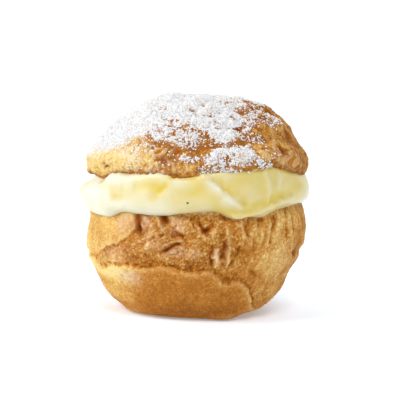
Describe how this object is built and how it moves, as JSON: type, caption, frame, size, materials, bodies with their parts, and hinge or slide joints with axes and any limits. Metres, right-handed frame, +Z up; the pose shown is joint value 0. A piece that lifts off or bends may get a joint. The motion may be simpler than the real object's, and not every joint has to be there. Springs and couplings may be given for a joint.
{
  "type": "cream puff",
  "caption": "Round cream puff: a browned, craggy choux base and a sugar-dusted choux cap with a thick, bulging layer of vanilla custard between them.",
  "frame": {"origin": "centre of the flat underside that the puff rests on", "axes": "+Z up from the underside through the crown; -Y towards the side shown in front; +X to its right"},
  "size_m": [0.0779, 0.0764, 0.0737],
  "materials": {
    "baked_crust": "golden-brown baked choux crust, satin where it is smooth and dull in the creases",
    "vanilla_custard": "pale yellow vanilla custard, moist and softly glossy",
    "sugared_crust": "golden-brown baked choux crust dusted with icing sugar"
  },
  "bodies": {
    "root": {"choux_base": "baked_crust", "custard_layer": "vanilla_custard", "choux_cap": "sugared_crust"}
  },
  "joints": []
}
